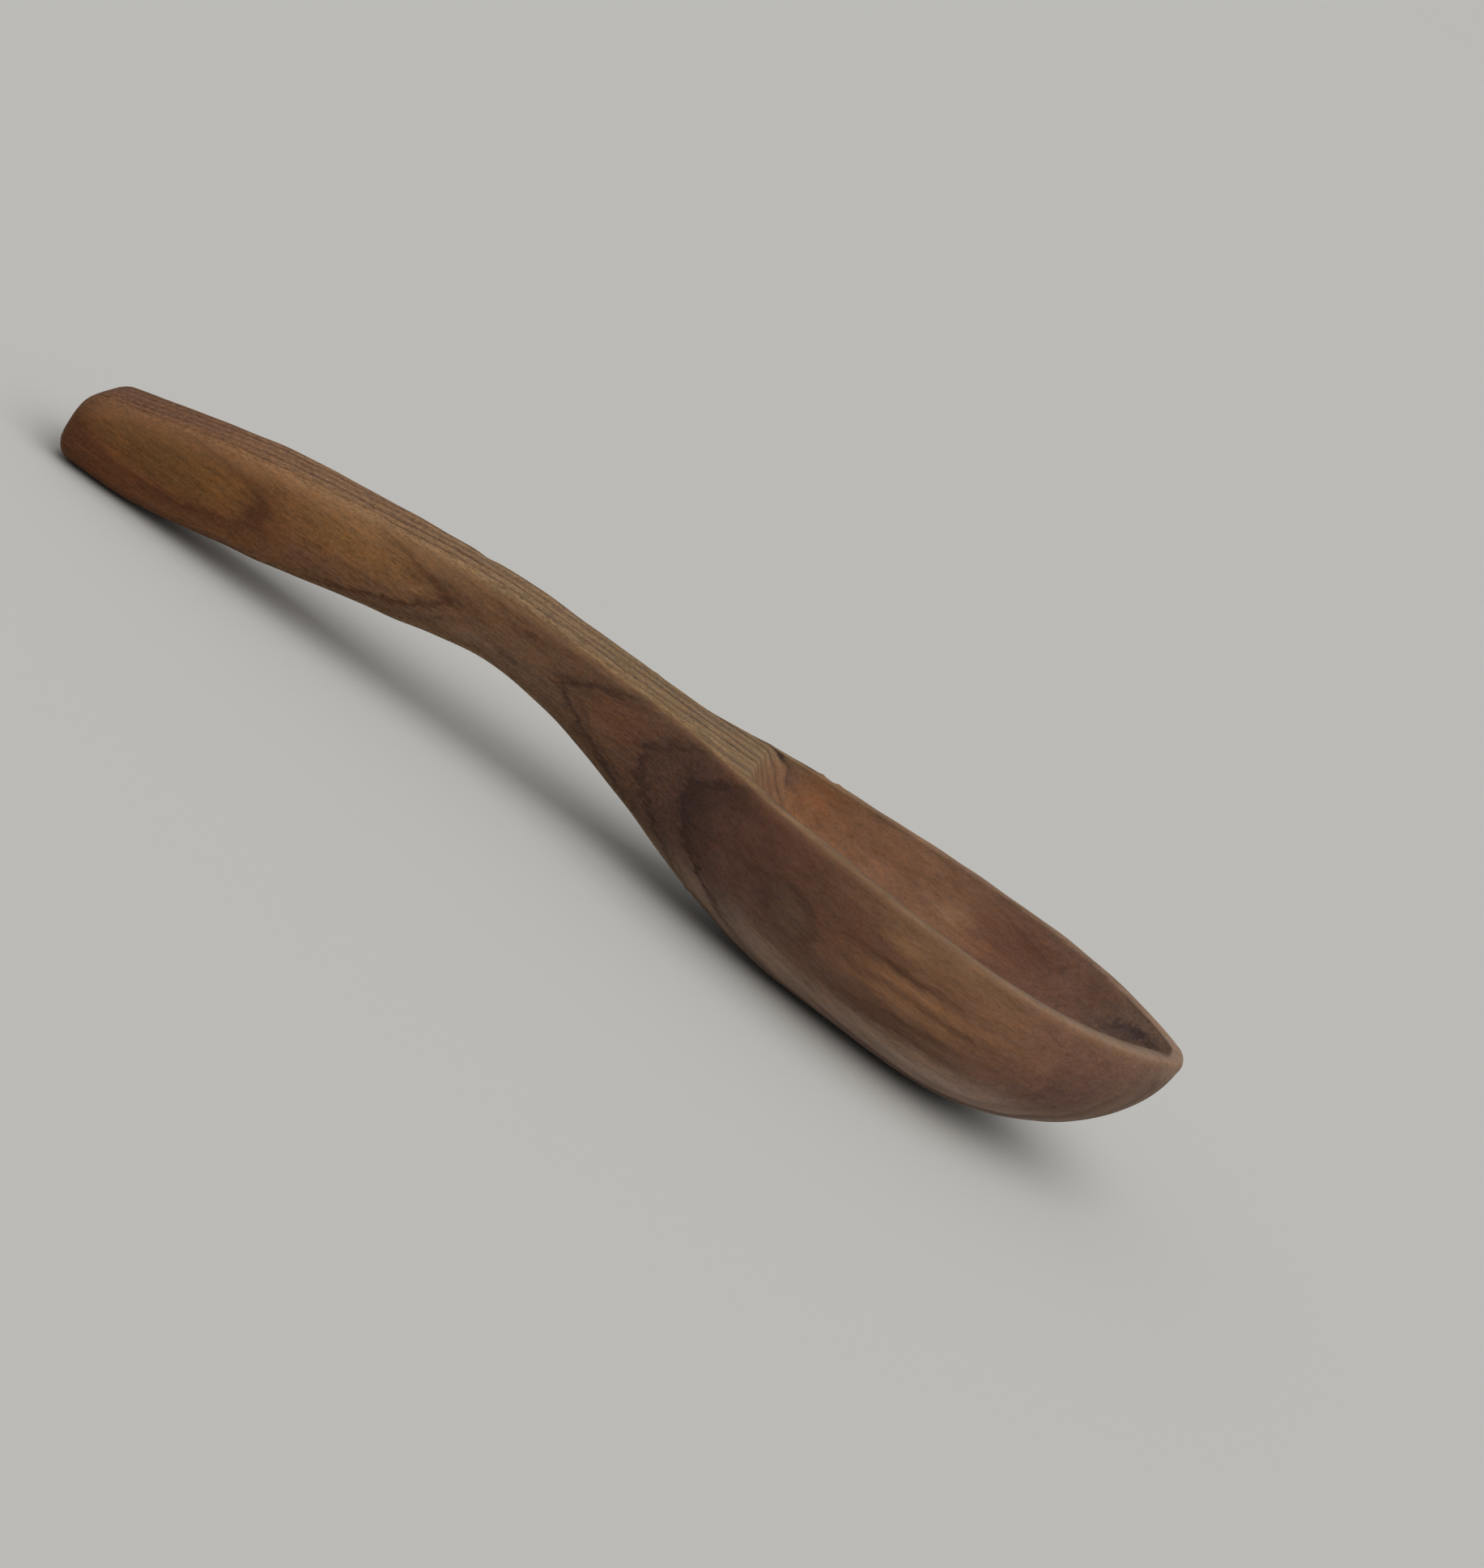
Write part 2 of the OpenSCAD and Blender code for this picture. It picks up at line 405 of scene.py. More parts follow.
@dataclass(frozen=True)
class SkinSteps:
    """Steps of the skin along the spoon and round a section.

    The hollow's mask rises to full at a depth in mm. The crest of an edge, which the finish paints paler
    partly for wear and partly as painted highlight, lies in from its corner by a share of the edge's radius,
    and reaches as far as another share of it.
    """

    tip: int = 130
    bowl: int = 140
    handle: int = 110
    end: int = 18
    tip_crowding: float = 1.7
    side: int = 100
    edge: int = 8
    top: int = 90
    scraped_from: float = 0.5
    crest_share: float = 0.3
    crest_reach: float = 0.8

    def places(self, form: SpoonForm) -> np.ndarray:
        """Places of the sections: crowded at the point by a power, and round the end by a sine.

        Args:
            form: The spoon's form.

        Returns:
            The places, from the tip to the end.
        """
        tip = form.widest_run * (np.arange(self.tip + 1) / self.tip) ** self.tip_crowding
        bowl = np.linspace(form.widest_run, form.neck_at, self.bowl + 1)[1:]
        handle = np.linspace(form.neck_at, form.round_at, self.handle + 1)[1:]
        end = form.round_at + form.end_edge * np.sin(math.pi / 2 * np.arange(1, self.end + 1) / self.end)
        return np.concatenate([tip, bowl, handle, end])

    def skin(self, form: SpoonForm) -> Skin:
        """Works out the skin.

        Each section is closed by four stretches: the underside, a superellipse from edge to edge, the far
        edge as a quarter circle, the top with its crown and the hollow, and the near edge.

        Args:
            form: The spoon's form.

        Returns:
            The skin, with its points in mm.
        """
        s = self.places(form)[:, None]
        half = form.plan_half(s) - form.inset(s)
        high = form.top_line(s) - form.inset(s) - form.nose_drop(s)
        low = form.keel_line(s) + form.inset(s)
        most = np.minimum(form.edge_share_w * half, form.edge_share_h * (high - low))
        edge = np.minimum(form.edge_line(s), most)
        rise = np.minimum(form.crown(s), edge)
        brim = high - rise - edge
        power = 2 / form.squareness(s)
        hole = np.minimum(form.hollow_half(s), half - edge)
        span = np.maximum(hole, form.top_share * (half - edge))
        full = form.hollow_depth(s)

        turn = math.pi * np.arange(self.side + 1)[None] / self.side
        under_y = -half * np.sign(np.cos(turn)) * np.abs(np.cos(turn)) ** power
        under_z = brim - (brim - low) * np.abs(np.sin(turn)) ** power

        turn = math.pi / 2 * np.arange(1, self.edge + 1)[None] / self.edge
        edge_y = half - edge + edge * np.cos(turn)
        edge_z = brim + edge * np.sin(turn) + rise * (1 - (edge_y / half) ** 2)

        top_y = span * np.cos(math.pi * np.arange(self.top + 1)[None] / self.top)
        depth = np.where(full > 0, form.depth_at(top_y, hole, full), 0.0)
        depth = np.where(np.abs(top_y) < hole, depth, 0.0)
        top_z = high - rise * (top_y / half) ** 2 - depth

        y = np.concatenate([under_y, edge_y, top_y, -edge_y[:, ::-1]], 1)
        z = np.concatenate([under_z, edge_z, top_z, edge_z[:, ::-1]], 1)
        x = np.broadcast_to(form.length / 2 - s, y.shape)
        # Crests of the edges, which the finish paints paler: partly wear, partly painted highlight.
        crest_y = half - self.crest_share * edge
        crest_z = brim + (1 - self.crest_share) * edge
        from_crest = np.hypot(np.abs(y) - crest_y, z - crest_z)
        wear_and_highlight = np.exp(-((from_crest / (self.crest_reach * edge)) ** 2))
        # The hollow, which the finish paints lighter: partly the wood's own colour there, partly painted
        # light against its shade.
        shaved_and_lit = np.clip(depth / self.scraped_from, 0, 1)
        under, rounded = np.ones_like(under_y), np.ones_like(edge_y)
        scraped_and_lit = np.concatenate([0 * under, 0 * rounded, shaved_and_lit, 0 * rounded], 1)
        outside = np.concatenate([under, rounded, np.zeros_like(top_y), rounded], 1)
        return Skin(np.stack([x, y, z], -1), wear_and_highlight, scraped_and_lit, outside)


@dataclass(frozen=True)
class Mark:
    """One small mark of the carving: a bump of Gaussian form, pushed in by a depth, or out by one below 0."""

    place: Point
    reach: Point
    depth: float

    def relief(self, points: np.ndarray) -> np.ndarray:
        """Height of the surface at the points, in mm: -depth * exp(-|(point - place) / reach|^2)."""
        away = (points - np.array(self.place)) / np.array(self.reach)
        return -self.depth * np.exp(-np.sum(away**2, -1))


@dataclass(frozen=True)
class KnifeWork:
    """What the knife left: a soft unevenness all over, and a few nicks and splinters."""

    uneven: float = 0.018
    full_from: float = 1.0
    waves: tuple[tuple[Point, float], ...] = (
        ((0.55, 0.35, 0.9), 0.4),
        ((-0.85, 0.9, 0.3), 2.1),
        ((1.35, -0.5, 1.1), 4.0),
        ((0.4, 1.6, -0.8), 1.2),
        ((2.1, 0.7, 0.5), 5.3),
    )
    marks: tuple[Mark, ...] = (
        Mark((-18.7, -0.75, 8.0), (0.16, 0.2, 0.2), 0.12),
        Mark((-23.2, 0.3, 7.5), (0.16, 0.2, 0.2), 0.1),
        Mark((-12.3, 2.1, 8.8), (0.5, 0.5, 0.3), 0.08),
        Mark((-0.9, 2.5, 9.0), (0.2, 0.3, 0.2), -0.05),
        Mark((6.3, 4.2, 9.1), (0.3, 0.3, 0.2), -0.03),
        Mark((9.8, 5.7, 9.15), (0.15, 0.25, 0.2), -0.08),
        Mark((10.4, 5.8, 9.2), (0.3, 0.3, 0.2), 0.06),
        Mark((10.9, 5.9, 9.2), (0.15, 0.25, 0.2), -0.07),
        Mark((7.4, -2.3, 1.6), (0.2, 0.5, 0.4), -0.12),
        Mark((6.9, -2.4, 1.7), (0.3, 0.6, 0.4), 0.06),
    )

    def relief(self, points: np.ndarray) -> np.ndarray:
        """Height that the knife's work adds along the normal.

        It is the sum of a few sine waves and the marks' own bumps. It fades to nothing at the floor, on which
        the spoon has to stand as the solid does.

        Args:
            points: Points of the surface in mm.

        Returns:
            The height at each point, in mm.
        """
        waves = [np.sin(points @ np.array(wave) + start) for wave, start in self.waves]
        soft = self.uneven * sum(waves) / len(waves) ** 0.5
        fade = np.clip(points[..., 2] / self.full_from, 0, 1)
        return fade * sum((mark.relief(points) for mark in self.marks), soft)


def placed(name: str, data: bpy.types.ID) -> bpy.types.Object:
    """Makes an object of its data and links it to the scene."""
    thing = bpy.data.objects.new(name, data)
    bpy.context.scene.collection.objects.link(thing)
    return thing


@dataclass(frozen=True)
class Spoon:
    """The carved spoon: one piece, built as one closed skin and dressed with one finish."""

    form: SpoonForm = SpoonForm()
    steps: SkinSteps = SkinSteps()
    knife: KnifeWork = KnifeWork()

    def mesh(self) -> bpy.types.Mesh:
        """Makes the closed mesh, in metres, with the crest, hollow and flank attributes, of which the first
        two partly carry painted highlight and painted light.

        Returns:
            The mesh: quads between the sections, and a fan round a middle point at both ends.
        """
        skin = self.steps.skin(self.form)
        points = skin.points + skin.normals() * self.knife.relief(skin.points)[..., None]
        rows, columns = points.shape[:2]
        number = np.arange(rows * columns).reshape(rows, columns)
        ahead = np.roll(number, -1, 1)
        quads = np.stack([number[:-1], number[1:], ahead[1:], ahead[:-1]], -1).reshape(-1, 4)
        first, last = rows * columns, rows * columns + 1
        tip = np.stack([np.full(columns, first), number[0], ahead[0]], -1)
        end = np.stack([np.full(columns, last), ahead[-1], number[-1]], -1)
        middles = np.stack([points[0].mean(0), points[-1].mean(0)])
        places = np.concatenate([points.reshape(-1, 3), middles]) * MM

        mesh = bpy.data.meshes.new("carved_spoon")
        mesh.from_pydata(places.tolist(), [], quads.tolist() + tip.tolist() + end.tolist())
        mesh.shade_smooth()
        # The crest and hollow attributes carry partly painted highlight and painted light into the finish.
        for name, values in (("wear_and_highlight", skin.wear_and_highlight), ("scraped_and_lit", skin.scraped_and_lit), ("flank", skin.flank())):
            attribute = mesh.attributes.new(name, "FLOAT", "POINT")
            attribute.data.foreach_set("value", np.append(values.ravel(), [0.0, 0.0]).astype(np.float32))
        mesh.validate()
        return mesh

    def build(self, finish: "WoodFinish") -> bpy.types.Object:
        """Makes the piece and ties it to the frame.

        Args:
            finish: The wood's finish.

        Returns:
            The piece.
        """
        piece = placed("carved_spoon", self.mesh())
        piece.data.materials.append(finish.material())
        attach(piece, "root")
        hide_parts("spoon")
        return piece


def paint(red: int, green: int, blue: int) -> Paint:
    """Colour of a socket, in linear light, by the sRGB curve.

    Args:
        red: Red from 0 to 255, as on a screen.
        green: Green in the same steps.
        blue: Blue in the same steps.

    Returns:
        The four numbers that a colour socket takes.
    """
    steps = np.array([red, green, blue]) / 255
    linear = np.where(steps <= 0.04045, steps / 12.92, ((steps + 0.055) / 1.055) ** 2.4)
    return (*(float(v) for v in linear), 1.0)


class Blend(Enum):
    """How one colour is laid on another."""

    MIX = "MIX"
    MULTIPLY = "MULTIPLY"


@dataclass(frozen=True)
class Grain:
    """One noise of the wood, with about so many clouds for each mm along X, Y and Z.

    The last four numbers are how strongly it works on the wood's shade, on the dark lines, on the height of
    the bump and on the roughness of the surface.
    """

    per_mm: Point
    detail: float = 2.0
    rough: float = 0.5
    shade: float = 0.0
    lines: float = 0.0
    height: float = 0.0
    dull: float = 0.0


@dataclass(frozen=True)
class Tone:
    """One output socket of a material, with arithmetic and patterns that add nodes to its board."""

    board: "Board"
    socket: bpy.types.NodeSocket

    def math(self, operation: str, *values: "Tone | float") -> "Tone":
        """Adds one Math node that works on the values."""
        return self.board.add("ShaderNodeMath", {"operation": operation}, dict(enumerate(values)))

    def __add__(self, other: "Tone | float") -> "Tone":
        """Sum."""
        return self.math("ADD", self, other)

    __radd__ = __add__

    def __sub__(self, other: "Tone | float") -> "Tone":
        """Difference."""
        return self.math("SUBTRACT", self, other)

    def __rsub__(self, other: float) -> "Tone":
        """Difference, with the number first."""
        return self.math("SUBTRACT", other, self)

    def __mul__(self, other: "Tone | float") -> "Tone":
        """Product."""
        return self.math("MULTIPLY", self, other)

    __rmul__ = __mul__

    def __pow__(self, other: float) -> "Tone":
        """Power."""
        return self.math("POWER", self, other)

    def larger(self, other: "Tone") -> "Tone":
        """The larger of two values."""
        return self.math("MAXIMUM", self, other)

    def bell(self) -> "Tone":
        """The bell curve exp(-value)."""
        return self.math("EXPONENT", self * -1.0)

    def fraction(self) -> "Tone":
        """What is left after the whole number."""
        return self.math("FRACT", self)

    def rise(self, low: float, high: float) -> "Tone":
        """Smooth step from 0 at low to 1 at high."""
        settings = {"interpolation_type": "SMOOTHSTEP"}
        return self.board.add("ShaderNodeMapRange", settings, {0: self, 1: low, 2: high, 3: 0.0, 4: 1.0})

    def part(self, axis: str) -> "Tone":
        """One coordinate of a vector."""
        return self.board.add("ShaderNodeSeparateXYZ", {}, {0: self}, axis)

    def vector(self, operation: str, other: "Tone | Point", output: int | str = 0) -> "Tone":
        """Adds one Vector Math node."""
        return self.board.add("ShaderNodeVectorMath", {"operation": operation}, {0: self, 1: other}, output)

    def scaled(self, by: Point) -> "Tone":
        """Vector times a vector of three numbers."""
        return self.vector("MULTIPLY", by)

    def local(self, centre: Point, reach: Point, turn: float) -> "Tone":
        """Vector seen from a centre, in units of its reach, with its +X raised by turn degrees."""
        rotation = (0.0, -math.radians(turn), 0.0)
        inputs = {"Vector": self, "Location": centre, "Rotation": rotation, "Scale": reach}
        return self.board.add("ShaderNodeMapping", {"vector_type": "TEXTURE"}, inputs)

    def lens(self, centre: Point, reach: Point, turn: float) -> "Tone":
        """Squared distance from a centre, in units of its reach."""
        local = self.local(centre, reach, turn)
        return local.vector("DOT_PRODUCT", local, "Value")

    def noise(self, grain: Grain, colour: bool = False) -> "Tone":
        """Cloudy noise at a place in mm: one from 0 to 1, or three as a colour."""
        inputs = {"Scale": 1.0, "Detail": grain.detail, "Roughness": grain.rough}
        inputs["Vector"] = self.scaled(grain.per_mm)
        return self.board.add("ShaderNodeTexNoise", {"noise_dimensions": "3D"}, inputs, int(colour))

    def mixed(self, share: "Tone | float", over: "Tone | Paint", blend: Blend = Blend.MIX) -> "Tone":
        """This colour with another laid on it by a share from 0 to 1."""
        settings = {"data_type": "RGBA", "blend_type": blend.value, "clamp_factor": True}
        return self.board.add("ShaderNodeMix", settings, {0: share, 6: self, 7: over}, 2)

    def ramp(self, stops: list[tuple[float, Paint]], way: str) -> "Tone":
        """Colour that changes from stop to stop along this value.

        Args:
            stops: Values and their colours, in order.
            way: How the colour runs between two stops.

        Returns:
            The colour.
        """
        low, high = stops[0][0], stops[-1][0]
        share = self.board.add("ShaderNodeMapRange", {}, {0: self, 1: low, 2: high, 3: 0.0, 4: 1.0})
        colour = self.board.add("ShaderNodeValToRGB", {}, {0: share})
        ramp = colour.socket.node.color_ramp
        ramp.interpolation = way
        ramp.elements.remove(ramp.elements[-1])
        ramp.elements[0].color = stops[0][1]
        for value, tint in stops[1:]:
            ramp.elements.new((value - low) / (high - low)).color = tint
        return colour

    def zones(self, zones: Zones) -> "Tone":
        """Colour that changes smoothly through the zones' own colours along this value."""
        return self.ramp([(value, paint(*colour)) for value, colour in zones], "EASE")


class Board:
    """Node tree of one material."""

    def __init__(self, name: str) -> None:
        """Starts a material with its shader and output.

        Args:
            name: The material's name.
        """
        self.result = bpy.data.materials.new(name)
        self.result.use_nodes = True
        self.nodes = self.result.node_tree.nodes
        self.links = self.result.node_tree.links
        self.shader = self.nodes["Principled BSDF"]

    def fill(self, node: bpy.types.Node, inputs: dict) -> None:
        """Gives sockets of a node their values or links.

        Args:
            node: The node.
            inputs: Values or tones, by the sockets' names or numbers.
        """
        for key, value in inputs.items():
            if isinstance(value, Tone):
                self.links.new(value.socket, node.inputs[key])
            else:
                node.inputs[key].default_value = value

    def add(self, kind: str, settings: dict, inputs: dict, output: int | str = 0) -> Tone:
        """Adds a node.

        Args:
            kind: The node's type.
            settings: Its own settings.
            inputs: Values or tones of its sockets, by name or number.
            output: The output that is wanted, by name or number.

        Returns:
            The wanted output.
        """
        node = self.nodes.new(kind)
        for name, value in settings.items():
            setattr(node, name, value)
        self.fill(node, inputs)
        return Tone(self, node.outputs[output])

    def fac(self, name: str) -> Tone:
        """A named attribute of the mesh."""
        return self.add("ShaderNodeAttribute", {"attribute_name": name}, {}, "Fac")


class Face(Enum):
    """A face of the spoon that has a figure of its own."""

    NEAR = "near"
    FAR = "far"


@dataclass(frozen=True)
class Patch:
    """Patch of colour on the wood: an ellipsoid with a bell's soft border or a crisper one. Most are stained
    wood; some are painted light or shade.
    """

    centre: Point
    reach: Point
    turn: float
    colour: Colour
    strength: float
    crisp: float = 1.0

    def lay(self, place: Tone, under: Tone) -> Tone:
        """Lays the patch's colour on another, by strength * exp(-distance^(2 crisp)).

        Args:
            place: Place in mm.
            under: The colour below.

        Returns:
            The colour with the patch.
        """
        distance = place.lens(self.centre, self.reach, self.turn)
        share = (distance if self.crisp == 1.0 else distance**self.crisp).bell() * self.strength
        return under.mixed(share, paint(*self.colour))


@dataclass(frozen=True)
class Band:
    """One dark line of late wood: its place across the figure, half its width and its strength."""

    at: float
    width: float
    strength: float

    def line(self, level: Tone) -> Tone:
        """Late wood of the line: a bell curve across the figure's level."""
        return (((level - self.at) * (1 / self.width)) ** 2.0).bell() * self.strength


@dataclass(frozen=True)
class Oval:
    """Closed rings, where the knife has cut flat through a bulge of the layers. Bands count in radii."""

    face: Face
    centre: Point
    reach: Point
    turn: float
    bands: tuple[Band, ...]

    def level(self, place: Tone) -> Tone:
        """Distance from the centre in radii, whatever the depth in the wood."""
        return place.scaled((1.0, 0.0, 1.0)).lens(self.centre, self.reach, self.turn) ** 0.5


@dataclass(frozen=True)
class Arch:
    """Nested arches, where the cut runs slantwise through the layers. Bands count in mm from the apex."""

    face: Face
    apex: Point
    turn: float
    spread: float
    soft: float
    bands: tuple[Band, ...]

    def level(self, place: Tone) -> Tone:
        """Distance across the arches: x - spread * (sqrt(z^2 + soft^2) - soft), seen from the apex.

        Args:
            place: Place in mm.

        Returns:
            The distance in mm. Each of its values is a hyperbola.
        """
        local = place.local(self.apex, (1.0, 1.0, 1.0), self.turn)
        bow = (local.part("Z") ** 2.0 + self.soft**2) ** 0.5
        return local.part("X") - (bow - self.soft) * self.spread


Figure = Oval | Arch


@dataclass(frozen=True)
class WoodFinish:
    """Oiled fruitwood: growth layers that lie upright along the spoon, darker heartwood, fibres and pores.

    The layers show as stripes on the top, on the underside and down the back of the hollow. On the flanks the
    knife has cut flat through their bulges, which shows as ovals and arches. A step is the pair of values
    between which something rises from 0 to 1. The grain is calmer towards the tip, past the calm step in mm.
    """

    name: str = "oiled_fruitwood"
    layer_edges: tuple[float, ...] = (
        -7.8, -6.7, -5.8, -4.7, -3.7, -2.7, -1.5, -0.5, 0.6, 1.7, 2.9, 4.0, 5.2, 6.3, 7.4,
    )
    layer_tilt: float = 0.06
    layer_bow: float = 0.015
    layer_middle: float = 5.0
    layer_ripple: float = 1.3
    late_fall: float = 5.0
    late_left: float = 0.7
    wander: tuple[tuple[Grain, Point], ...] = (
        (Grain((0.09, 0.3, 0.3)), (2.4, 0.5, 0.9)),
        (Grain((0.45, 1.6, 1.6)), (1.0, 0.25, 0.35)),
        (Grain((0.9, 4.5, 4.5)), (1.9, 0.15, 0.6)),
    )
    ripple: Grain = Grain((0.15, 0.9, 0.9), 5.0, 0.6)
    fibres: Grain = Grain((0.9, 10.0, 10.0), 3.0, 0.65, shade=0.8, lines=1.4, height=0.5)
    streaks: Grain = Grain((0.22, 3.0, 3.0), 4.0, 0.6, shade=0.9, lines=1.8, height=0.3)
    cloud: Grain = Grain((0.4, 1.1, 1.1), 4.0, 0.6, shade=0.5, dull=0.3)
    speckle: Grain = Grain((4.5, 7.0, 7.0), 3.0, 0.6, shade=0.7)
    hue: Grain = Grain((1.1, 2.6, 2.6), 5.0, 0.7)
    flecks: Grain = Grain((1.3, 6.0, 6.0), 3.0, 0.6)
    pores: Grain = Grain((1.6, 13.0, 13.0), 1.0, shade=0.3, height=-0.6, dull=0.1)
    seasons: Grain = Grain((0.9, 0.9, 0.9), 3.0, shade=0.9, lines=3.2)

    side_step: Step = (0.4, 0.85)
    calm_step: Step = (2.0, 9.0)
    bowl_step: Step = (8.0, 10.5)
    rim_step: Step = (8.2, 9.0)
    fleck_step: Step = (0.58, 0.72)
    pore_step: Step = (0.66, 0.74)
    stripes: float = 0.7
    least_stripes: float = 0.06
    wear_loss: float = 0.6
    hollow_loss: float = 0.4
    fleck_share: float = 0.08
    lively_flecks: float = 0.3
    grain_share: float = 0.8
    lively_grain: float = 0.7
    lively_stripes: float = 2.2
    brightness: float = 1.03
    warmth: float = 1.5
    lively_warmth: float = 0.5
    warm_red: float = 0.25
    warm_blue: float = 0.4
    blue: float = 1.05
    # Pale colour of the edge crests and how strongly it shows: partly wear, partly painted highlight.
    wear_and_highlight_colour: Colour = (128, 100, 72)
    wear_and_highlight_share: float = 0.25
    worn_dull: float = 0.25
    roughness: float = 0.6
    bump: float = 0.35
    bump_mm: float = 0.03
    specular: float = 0.08
    ior: float = 1.45

    late: Zones = (
        (-35, (78, 46, 28)), (-12, (68, 42, 29)), (0, (54, 39, 34)), (10, (56, 40, 34)), (35, (62, 42, 34)),
    )
    # Darker towards the handle's end: partly darker end grain, partly painted shadow of the fingers that held
    # it.
    top: Zones = (
        (-35, (108, 73, 48)), (-30, (118, 82, 55)), (-22, (134, 102, 71)), (-8, (139, 112, 79)),
        (-2, (132, 106, 73)), (5, (138, 111, 78)), (14, (116, 91, 68)), (35, (132, 108, 88)),
    )
    # Darker towards the handle's end: partly darker end grain, partly painted shadow of the fingers that held
    # it.
    flank: Zones = (
        (-35, (94, 60, 37)), (-31, (104, 65, 38)), (-26, (114, 75, 43)), (-18, (120, 83, 52)),
        (-12, (113, 82, 56)), (-6, (102, 75, 54)), (0, (98, 70, 53)), (4, (87, 62, 51)), (9, (94, 64, 51)),
        (16, (106, 75, 56)), (22, (122, 88, 64)), (28, (119, 86, 67)), (35, (114, 84, 70)),
    )
    # Colours of the hollow, lighter than the flanks: partly the wood's own colour there, partly painted light
    # that makes up for the shade inside the hollow.
    hollow: Zones = (
        (6, (136, 107, 76)), (8, (128, 94, 68)), (10, (129, 90, 62)), (14, (134, 97, 71)),
        (20, (132, 97, 73)), (24, (114, 80, 62)), (29, (128, 97, 79)), (32, (130, 105, 87)),
        (35, (144, 117, 94)),
    )
    figures: tuple[Figure, ...] = (
        Oval(Face.NEAR, (-29, 0, 3.9), (5.8, 1, 1.85), 8, (Band(1, 0.1, 0.42), Band(1.16, 0.16, 0.22))),
        Arch(Face.NEAR, (-12.9, 0, 6.6), 187, 3.2, 0.45, (Band(-0.6, 0.55, 0.7), Band(-2.6, 0.9, 0.2))),
        Arch(Face.NEAR, (-4.2, 0, 7), -3, 2.1, 0.35, (Band(-0.45, 0.5, 0.65), Band(0.7, 0.3, 0.3))),
        Arch(
            Face.NEAR, (0.9, 0, 6.35), 0, 2.2, 2.5,
            (Band(0.2, 0.4, 0.6), Band(1.1, 0.25, 0.2), Band(3.4, 0.5, 0.65), Band(4.5, 0.8, 0.3)),
        ),
        Oval(Face.NEAR, (12.4, 0, 5.1), (1.9, 1, 1.2), -15, (Band(1, 0.25, 0.3),)),
        Oval(Face.FAR, (-21, 0, 5.4), (5.2, 1, 1.6), 8, (Band(1, 0.1, 0.42), Band(1.18, 0.14, 0.2))),
        Arch(Face.FAR, (-8, 0, 7.2), 184, 3, 0.4, (Band(-0.6, 0.6, 0.42),)),
        Arch(
            Face.FAR, (-2, 0, 6.4), -6, 1.6, 0.8,
            (Band(0, 0.45, 0.45), Band(1.6, 0.4, 0.3), Band(4.2, 0.8, 0.4)),
        ),
    )
